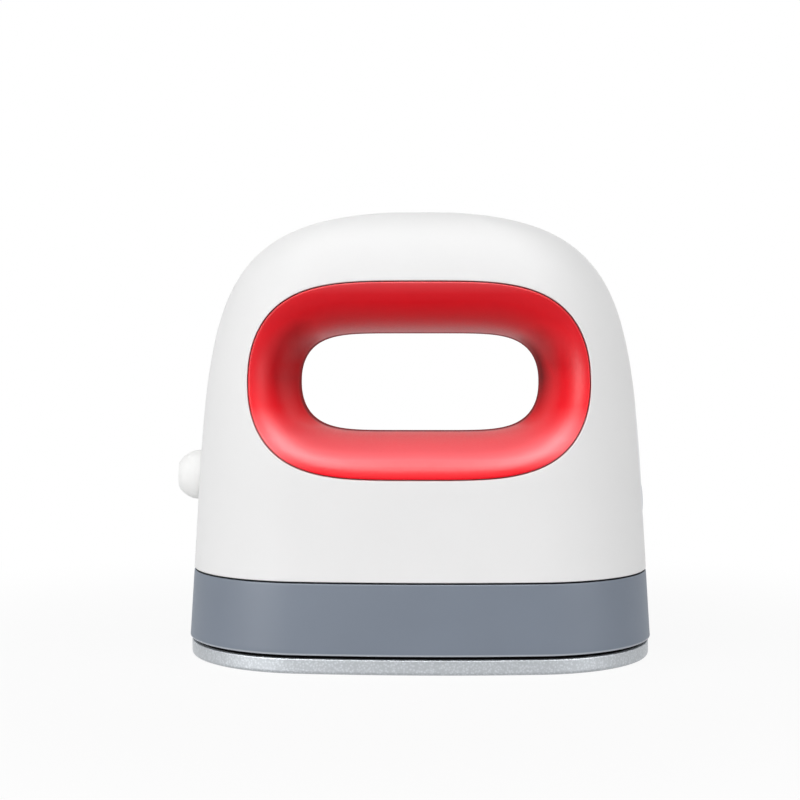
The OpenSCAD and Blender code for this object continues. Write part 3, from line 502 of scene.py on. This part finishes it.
# for each slot: name, colour, roughness, change of colour, grain and its depth in millimetres,
# and where they aren't 0 and 0.5, metal and gloss
PLAIN = {
    "gasket_rubber": ("gasket_black", (8, 8, 10), 0.95, 0.1, 1800, 0.02, 0.0, 0.05),
    "heater_tube": ("heater_tube", (150, 140, 128), 0.38, 0.12, 1500, 0.01, 0.9),
    "ceramic": ("ceramic_white", (232, 228, 218), 0.6, 0.03, 2000, 0.01),
    "washer_board": ("washer_board", (196, 176, 140), 0.75, 0.08, 900, 0.02),
    "screw_steel": ("screw_steel", (176, 178, 182), 0.3, 0.06, 1400, 0.006, 1.0),
    "pad_fibre": ("pad_fibre", (214, 210, 198), 0.95, 0.06, 700, 0.08),
    "shield_metal": ("shield_metal", (190, 192, 194), 0.28, 0.05, 500, 0.008, 1.0),
    "deck_plastic": ("deck_plastic", (60, 62, 66), 0.55, 0.06, 1700, 0.015),
    "sensor_body": ("sensor_body", (206, 196, 178), 0.35, 0.05, 1800, 0.006),
    "fuse_body": ("fuse_body", (200, 190, 160), 0.35, 0.06, 1500, 0.006, 0.6),
    "board_green": ("board_green", (22, 88, 48), 0.35, 0.1, 900, 0.01),
    "relay_blue": ("relay_blue", (32, 84, 168), 0.35, 0.04, 1900, 0.008),
    "converter_yellow": ("converter_yellow", (222, 184, 54), 0.4, 0.05, 1200, 0.01),
    "capacitor_blue": ("capacitor_blue", (30, 44, 96), 0.3, 0.05, 1500, 0.005),
    "block_green": ("block_green", (36, 128, 74), 0.4, 0.05, 1500, 0.01),
    "chip_black": ("chip_black", (28, 28, 30), 0.5, 0.08, 1800, 0.008),
    "lead_red": ("lead_red", (176, 30, 30), 0.4, 0.05, 1200, 0.01),
    "lead_grey": ("lead_grey", (130, 132, 136), 0.4, 0.05, 1200, 0.01),
    "lead_yellow": ("lead_yellow", (208, 188, 96), 0.4, 0.05, 1200, 0.01),
    "ribbon_grey": ("ribbon_grey", (196, 198, 202), 0.45, 0.05, 1200, 0.01),
    "plunger_white": ("plunger_white", (226, 224, 216), 0.4, 0.03, 1700, 0.006),
    "led_white": ("led_white", (238, 236, 224), 0.3, 0.03, 1700, 0.004),
    "lens_clear": ("lens_frost", (200, 206, 214), 0.25, 0.02, 1900, 0.004),
    "panel_plastic": ("panel_white", (232, 233, 235), 0.42, 0.02, 3200, 0.008, 0.0, 0.25),
    "button_plastic": ("button_pale", (210, 213, 218), 0.38, 0.02, 3200, 0.007),
    "gland_plastic": ("gland_pale", (240, 240, 239), 0.6, 0.02, 3200, 0.008, 0.0, 0.05),
}
MATS = {slot: moulded(name, srgb(*color), *rest) for slot, (name, color, *rest) in PLAIN.items()}
MATS["shell_plastic"] = shell_plastic()
MATS["grip_red"] = soft_red()
MATS["band_plastic"] = band_plastic()
MATS["plate_metal"] = plate_metal()

# The housing's screws are dark, because their heads show through the groove round the lining:
# painted shade, so that the groove reads dark.
NODE_MATS = {row["node"]: MATS[row["material_slot"]] for row in frame["record"]["subparts"]}
NODE_MATS["shell_screws"] = moulded("screw_black", srgb(30, 30, 32), 0.5, 0.06, 1400, 0.006)

for node, o in frame["nodes"].items():
    if o.material_slots:
        for s in o.material_slots:
            s.material = NODE_MATS[node]
    else:
        o.data.materials.append(NODE_MATS[node])


# ---------- housing halves ----------

RIM_ROUND = 0.35 * MM
EDGE_ROUND = 0.25 * MM
ROUND_STEPS = 5
PROFILE_STEPS = 96
WELL_ROWS = (0.0, 0.5, 0.97)     # shares of the way from the middle plane to the rim's rounding
FACE_ROWS = 40
# The face's rows crowd towards its edge. The first of them, one in FACE_START_PARTS, also step
# out by FACE_START of the way, to clear the rim.
FACE_START = 0.04
FACE_START_PARTS = 12
INNER_ROWS = 12
# Lines start this many roundings away from the middle plane, and from the seam
PLANE_CLEAR, SEAM_CLEAR = 1.5, 1.6
SAME = 1e-7


def housing_lines():
    """The front half's boundary: each line's corner, its ways in and out, and its inner end."""
    r, gap = EDGE_ROUND, HALF_GAP
    lines = []
    bottom = half_oval(SHELL_A, SHELL_B, HOUSING_STEPS)
    bottom_in = half_oval(SHELL_A - WALL, SHELL_B - WALL, HOUSING_STEPS)
    for p, q in zip(bottom, bottom_in):
        if p[1] <= -(r + gap) * PLANE_CLEAR:
            out = unit(np.array((q[0] - p[0], q[1] - p[1], 0.0))) * r
            lines.append(((p[0], p[1], SHELL_Z), (0, 0, -r), tuple(out), (q[0], q[1], SHELL_Z)))
        elif abs(abs(p[0]) - SHELL_A) <= SAME:
            side = math.copysign(1, p[0])
            lines.append(((p[0], -gap, SHELL_Z), (0, r, -r), (-side * r, 0, 0),
                          (side * (SHELL_A - WALL), -gap, SHELL_Z)))
    ca, _, cz = curves(0.0)
    ia, _, iz = curves(WALL)
    right = []
    for t in (i / PROFILE_STEPS for i in range(PROFILE_STEPS + 1)):
        x, z, xi, zi = bezier(ca, t), bezier(cz, t), bezier(ia, t), bezier(iz, t)
        if z >= SHELL_Z + r * SEAM_CLEAR:
            out = unit(np.array((xi - x, 0.0, zi - z))) * r
            right.append(((x, -gap, z), (0, r, 0), tuple(out), (xi, -gap, zi)))
    lines += right
    for e, into, out, i in reversed(right[:-1]):
        lines.append(((-e[0], e[1], e[2]), into, (-out[0], out[1], out[2]), (-i[0], i[1], i[2])))
    return (np.array(v, float) for v in zip(*lines))


def housing_half():
    """Rows of the front half: the well, the rim, the outer face, the edge and the inner face."""
    edge, d1, d2, inner = housing_lines()
    gap = HALF_GAP
    face_end = edge - d1
    on_bottom = (d1[:, 2] < 0) & (d1[:, 1] == 0)
    face_end[on_bottom, 1] = -depth_at(face_end[on_bottom, 0], face_end[on_bottom, 2])
    angle = np.arctan2(face_end[:, 2] - SLOT_Z, face_end[:, 0])
    rim = slot_at_polar(RIM, RIM_POW, angle)
    away = unit(np.stack([face_end[:, 0], face_end[:, 2] - SLOT_Z], 1) - rim)
    rim_y = -depth_at(rim[:, 0], SLOT_Z + rim[:, 1])
    rows = []

    def row(xz, y):
        rows.append(np.stack([xz[:, 0], y, xz[:, 1]], 1))

    # the well's wall, from the middle plane to the rim
    centre = np.array((0.0, SLOT_Z))
    at_rim = rim + centre
    for k in WELL_ROWS:
        row(at_rim, -gap + (rim_y + RIM_ROUND + gap) * k)
    # the rim, rounded
    first = at_rim + away * RIM_ROUND
    first_y = -depth_at(first[:, 0], first[:, 1])
    rim_edge = np.stack([at_rim[:, 0], rim_y, at_rim[:, 1]], 1)
    into = np.zeros_like(rim_edge)
    into[:, 1] = -RIM_ROUND
    out = np.stack([first[:, 0], first_y, first[:, 1]], 1) - rim_edge
    rows.extend(corner(rim_edge, into, out, ROUND_STEPS))
    # the outer face
    last = face_end[:, [0, 2]]
    for s in (j / FACE_ROWS for j in range(1, FACE_ROWS)):
        rho = (FACE_START * min(1, s * FACE_START_PARTS) * (1 - s)
               + (1 - (1 - s) ** 2) * (1 - FACE_START * (1 - s)))
        xz = first + (last - first) * rho
        row(xz, -np.maximum(depth_at(xz[:, 0], xz[:, 1]), EDGE_ROUND + gap))
    # the edge of the half, rounded
    mid = face_end + d2
    for q in (math.pi / 2 * i / ROUND_STEPS for i in range(ROUND_STEPS + 1)):
        rows.append(mid + math.sin(q) * d1 - math.cos(q) * d2)
    # back over the inner face to the well
    rows.append(edge + d2 + (inner - edge - d2) * 0.5)
    rows.append(inner)
    grown = (RIM[0] + WELL_WALL, RIM[1] + WELL_WALL)
    well = slot_at_polar(grown, RIM_POW, angle) + centre
    inner_xz = inner[:, [0, 2]]
    for s in (1 - j / INNER_ROWS for j in range(1, INNER_ROWS + 1)):
        xz = well + (inner_xz - well) * (1 - (1 - s) ** 2)
        row(xz, -np.maximum(depth_at(xz[:, 0], xz[:, 1], WALL), gap))
    row(well, rows[-1][:, 1] * 0.5)
    row(well, np.full(len(well), -gap))
    return rows


shell_rows = housing_half()
for name, node, mirror in (("housing_front", "front_shell", False),
                           ("housing_rear", "rear_shell", True)):
    verts, faces = lattice(shell_rows, mirror)
    o = piece(name, verts, faces, "shell_plastic")
    gland_hole = prism_x(circle(GLAND_R + FIT, GLAND_AXIS_Z), -SHELL_A - CUT_OUT, -SHELL_A + CUT_IN)
    panel_hole = prism_x(oblong(PANEL_W + 2 * FIT, PANEL_H + 2 * FIT, PANEL_Z),
                         SHELL_A - CUT_IN, SHELL_A + CUT_OUT)
    cut(o, gland_hole, panel_hole)
    shade(o)
    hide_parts(node)


# ---------- halves of the lining ----------

LINER_STEPS = 288
FLARE_ROWS = 26
BACK_ROWS = 10
RIM_EDGE, RIM_EDGE_STEPS = 0.45 * MM, 5
THROAT_EDGE, THROAT_EDGE_STEPS = 0.3 * MM, 4


def liner_half():
    """Rows of the front half: the rim, the flare down to the throat, and the back."""
    g = np.arange(LINER_STEPS) * 2 * math.pi / LINER_STEPS
    gap = GRIP_HALF_GAP
    rim = slot_points((RIM[0] - GRIP_GAP, RIM[1] - GRIP_GAP), RIM_POW, g)
    rim_deep = depth_at(rim[:, 0], SLOT_Z + rim[:, 1])

    def throat_at(back):
        return slot_points((THROAT[0] + back, THROAT[1] + back), THROAT_POW, g) - THROAT_DROP

    def flare(f, back):
        """A row of the flare, at angles f from 0 at the rim to a right angle at the throat."""
        p = rim + (throat_at(back) - rim) * np.sin(f)[:, None]
        y = -gap - (rim_deep - back - gap) * np.cos(f)
        return np.stack([p[:, 0], y, SLOT_Z + p[:, 1]], 1)

    at_rim = np.zeros(LINER_STEPS)
    at_throat = np.full(LINER_STEPS, math.pi / 2)
    throat = throat_at(0.0)
    f0 = np.arcsin(RIM_EDGE / np.linalg.norm(throat - rim, axis=1))
    f1 = np.arccos(THROAT_EDGE / (rim_deep - gap))
    outer, inner = flare(at_rim, 0.0), flare(at_rim, GRIP_T)
    rows = [outer + (inner - outer) * k for k in (1.0, 0.5)]
    into = np.zeros_like(outer)
    into[:, 1] = -RIM_EDGE
    rows.extend(corner(outer, into, flare(f0, 0.0) - outer, RIM_EDGE_STEPS))
    rows.extend(flare(f0 + (f1 - f0) * (j / FLARE_ROWS), 0.0) for j in range(1, FLARE_ROWS))
    end = flare(at_throat, 0.0)
    outward = np.stack([rim[:, 0] - throat[:, 0], at_rim, rim[:, 1] - throat[:, 1]], 1)
    rows.extend(corner(end, end - flare(f1, 0.0), unit(outward) * THROAT_EDGE, THROAT_EDGE_STEPS))
    rows.extend(flare(at_throat * (1 - j / BACK_ROWS), GRIP_T) for j in range(BACK_ROWS))
    return rows


liner_rows = liner_half()
for name, node, mirror in (("liner_front", "front_grip", False),
                           ("liner_rear", "rear_grip", True)):
    verts, faces = lattice(liner_rows, mirror)
    o = piece(name, verts, faces, "grip_red", sharp=50)
    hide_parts(node)


# ---------- band and plate ----------

ARC_STEPS = 5
PLATE_ARC_STEPS = (6, 4)         # at the plate's lower and upper edge
BAND_ROWS = (0.1, 0.5, 0.9)      # shares of the band's height
GUARD = 0.05 * MM                # rows this near to a rounding keep the flat faces' shading flat


def sweep_section(a, b, section):
    """Rings of an oval, each drawn in by a section point's inset and set at its height."""
    rings = []
    for inset, z in section:
        front = half_oval(a - inset, b - inset, OVAL_STEPS)
        oval = np.vstack([front, front[1:-1][::-1] * (1, -1)])
        rings.append(np.stack([oval[:, 0], oval[:, 1], np.full(len(oval), z)], 1))
    return rings


def arc(cx, cz, r, q0, q1, n):
    """Section points on a circle about (cx, cz), from q0 to q1 in degrees."""
    return [(cx - r * math.cos(q), cz + r * math.sin(q))
            for q in np.radians(np.linspace(q0, q1, n + 1))]


def base_band():
    draft = BAND_A - SHELL_A
    low_r, top_r = 0.28 * MM, 0.3 * MM
    # the tongue stands inside the housing, and the foot turns in under the band
    tongue_in, tongue_back, tongue_h = 2.6 * MM, 4 * MM, 3.5 * MM
    foot_in, wall = 3.5 * MM, 2.2 * MM
    section = arc(low_r, BAND_Z + low_r, low_r, -90, 0, ARC_STEPS)
    section += [(draft * k, BAND_Z + (BAND_TOP - BAND_Z) * k) for k in BAND_ROWS]
    section += arc(draft + top_r, BAND_TOP - top_r, top_r, 0, 90, ARC_STEPS)
    section += [(draft + tongue_in - 2 * GUARD, BAND_TOP), (draft + tongue_in, BAND_TOP),
                (draft + tongue_in, BAND_TOP + tongue_h),
                (draft + tongue_back, BAND_TOP + tongue_h),
                (draft + tongue_back, BAND_TOP - wall), (draft + wall, BAND_TOP - wall),
                (wall + low_r, BAND_Z + wall), (foot_in, BAND_Z + wall), (foot_in, BAND_Z)]
    verts, faces = lattice(sweep_section(BAND_A, BAND_B, section))
    o = piece("grey_band", verts, faces, "band_plastic")
    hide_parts("base_band")


def heat_plate():
    low_r, top_r = 0.7 * MM, 0.25 * MM
    top = GASKET_Z
    insets = (12 * MM, 3 * MM)       # rings on the flat faces, round the caps
    section = [(inset, 0.0) for inset in insets] + [(low_r + 2 * GUARD, 0.0)]
    section += arc(low_r, low_r, low_r, -90, 0, PLATE_ARC_STEPS[0])
    section += [(0.0, low_r + GUARD), (0.0, top - top_r - GUARD)]
    section += arc(top_r, top - top_r, top_r, 0, 90, PLATE_ARC_STEPS[1])
    section += [(inset, top) for inset in reversed(insets)]
    rows = sweep_section(PLATE_A, PLATE_B, section)
    verts, faces = lattice(rows, closed=False)
    m, n = len(rows), len(rows[0])
    faces.append(tuple(range(n)))
    faces.append(tuple((m - 1) * n + i for i in range(n - 1, -1, -1)))
    o = piece("press_plate", verts, faces, "plate_metal")
    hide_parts("heat_plate")


base_band()
heat_plate()


# ---------- floor, light and camera ----------

FLOOR_SIZE = 80.0
FLOOR_Z = -0.02 * MM
FLOOR_GREY = 0.78
SHADOW_NEAR, SHADOW_FAR = 0.08, 0.2  # the camera's share of the shadow fades between these
SHADOW_SHARE = 0.11
FRONT_LIGHT, BACK_LIGHT = 1.1, 0.32
LIGHT_TURN = (-0.3, 0.4)         # Y of the directions where front light turns to back light
WHITE = (1.0, 1.0, 1.0, 1.0)


def seen(tree):
    """1 for rays from the camera and for those that metal, gloss or glass sends on."""
    path = put(tree, "LightPath")
    total = path.outputs["Is Camera Ray"]
    for name in ("Is Glossy Ray", "Is Transmission Ray"):
        either = put(tree, "Math", {0: total, 1: path.outputs[name]}, operation="MAXIMUM")
        total = either.outputs[0]
    return total


def floor():
    """Pale where it lights the object; to the camera white, with part of the shadow."""
    bpy.ops.mesh.primitive_plane_add(size=FLOOR_SIZE, location=(0, 0, FLOOR_Z))
    o = bpy.context.object
    o.name = "floor"
    mat = bpy.data.materials.new("floor_pale")
    mat.use_nodes = True
    tree = mat.node_tree
    pale = tree.nodes["Principled BSDF"]
    pale.inputs["Base Color"].default_value = (FLOOR_GREY, FLOOR_GREY, FLOOR_GREY, 1)
    pale.inputs["Roughness"].default_value = 0.9
    pale.inputs["Specular IOR Level"].default_value = 0.1
    white = put(tree, "Emission", {"Color": WHITE, "Strength": 1.0})
    place = put(tree, "TexCoord").outputs["Object"]
    reach = put(tree, "VectorMath", {0: place}, operation="LENGTH").outputs["Value"]
    fade = put(tree, "MapRange", {"Value": reach, "From Min": SHADOW_NEAR, "From Max": SHADOW_FAR,
                                  "To Min": 1 - SHADOW_SHARE, "To Max": 1.0},
               interpolation_type="SMOOTHSTEP").outputs["Result"]
    share = put(tree, "Math", {0: seen(tree), 1: fade}, operation="MULTIPLY").outputs[0]
    mix = put(tree, "MixShader", {0: share, 1: pale.outputs[0], 2: white.outputs[0]})
    tree.links.new(mix.outputs[0], tree.nodes["Material Output"].inputs["Surface"])
    o.data.materials.append(mat)


def world():
    """White where the camera sees it; as light, brighter from the front than from behind."""
    w = bpy.data.worlds.new("studio")
    bpy.context.scene.world = w
    w.use_nodes = True
    tree = w.node_tree
    y = put(tree, "SeparateXYZ", {0: put(tree, "TexCoord").outputs["Generated"]}).outputs["Y"]
    turn = put(tree, "MapRange", {"Value": y, "From Min": LIGHT_TURN[0], "From Max": LIGHT_TURN[1],
                                  "To Min": FRONT_LIGHT, "To Max": BACK_LIGHT},
               interpolation_type="SMOOTHSTEP").outputs["Result"]
    light = tree.nodes["Background"]
    light.inputs["Color"].default_value = WHITE
    tree.links.new(turn, light.inputs["Strength"])
    white = put(tree, "Background", {"Color": WHITE, "Strength": 1.0})
    mix = put(tree, "MixShader", {0: seen(tree), 1: light.outputs[0], 2: white.outputs[0]})
    tree.links.new(mix.outputs[0], tree.nodes["World Output"].inputs["Surface"])


LAMP_TARGET = (0, 0, 0.05)
LEFT, LEFT_SIZE = (-0.75, -0.62, 0.36), (0.5, 0.6)


def lamp(name, place, size, power):
    """A rectangular lamp, in watts, turned to the object."""
    data = bpy.data.lights.new(name, "AREA")
    data.shape = "RECTANGLE"
    data.size, data.size_y = size
    data.energy = power
    o = bpy.data.objects.new(name, data)
    bpy.context.scene.collection.objects.link(o)
    o.location = place
    way = Vector(LAMP_TARGET) - Vector(place)
    o.rotation_euler = way.to_track_quat("-Z", "Y").to_euler()
    return o


floor()
world()
lamp("front_left", LEFT, LEFT_SIZE, 1.7)
lamp("back", (0.2, 0.95, 0.2), (0.8, 0.4), 2.2).visible_glossy = False
# these three give only gloss
lamp("gloss_top", (0.0, -0.2, 0.75), (1.0, 0.5), 21.0).visible_diffuse = False
lamp("gloss_left", LEFT, LEFT_SIZE, 12.5).visible_diffuse = False
lamp("gloss_right", (0.8, -0.55, 0.3), (0.5, 0.6), 4.0).visible_diffuse = False

IMAGE = 800
FOCAL_PX = 1515.0
SENSOR = 36.0
CAMERA = (0.004, -0.350, 0.0659)
PITCH_PX = 35.0                  # the camera looks down by this many pixels at the focal length
CENTRE_PX = 19.7                 # and past the origin to the left by this many

cam_data = bpy.data.cameras.new("camera")
cam_data.sensor_width = SENSOR
cam_data.lens = FOCAL_PX * SENSOR / IMAGE
cam_data.clip_start, cam_data.clip_end = 0.01, 20
cam = bpy.data.objects.new("camera", cam_data)
bpy.context.scene.collection.objects.link(cam)
pitch = math.atan(PITCH_PX / FOCAL_PX)
yaw = math.atan(CAMERA[0] / -CAMERA[1]) + math.atan(CENTRE_PX / FOCAL_PX)
cam.location = CAMERA
cam.rotation_euler = (math.pi / 2 - pitch, 0, yaw)
bpy.context.scene.camera = cam
bpy.context.scene.view_settings.view_transform = "Standard"
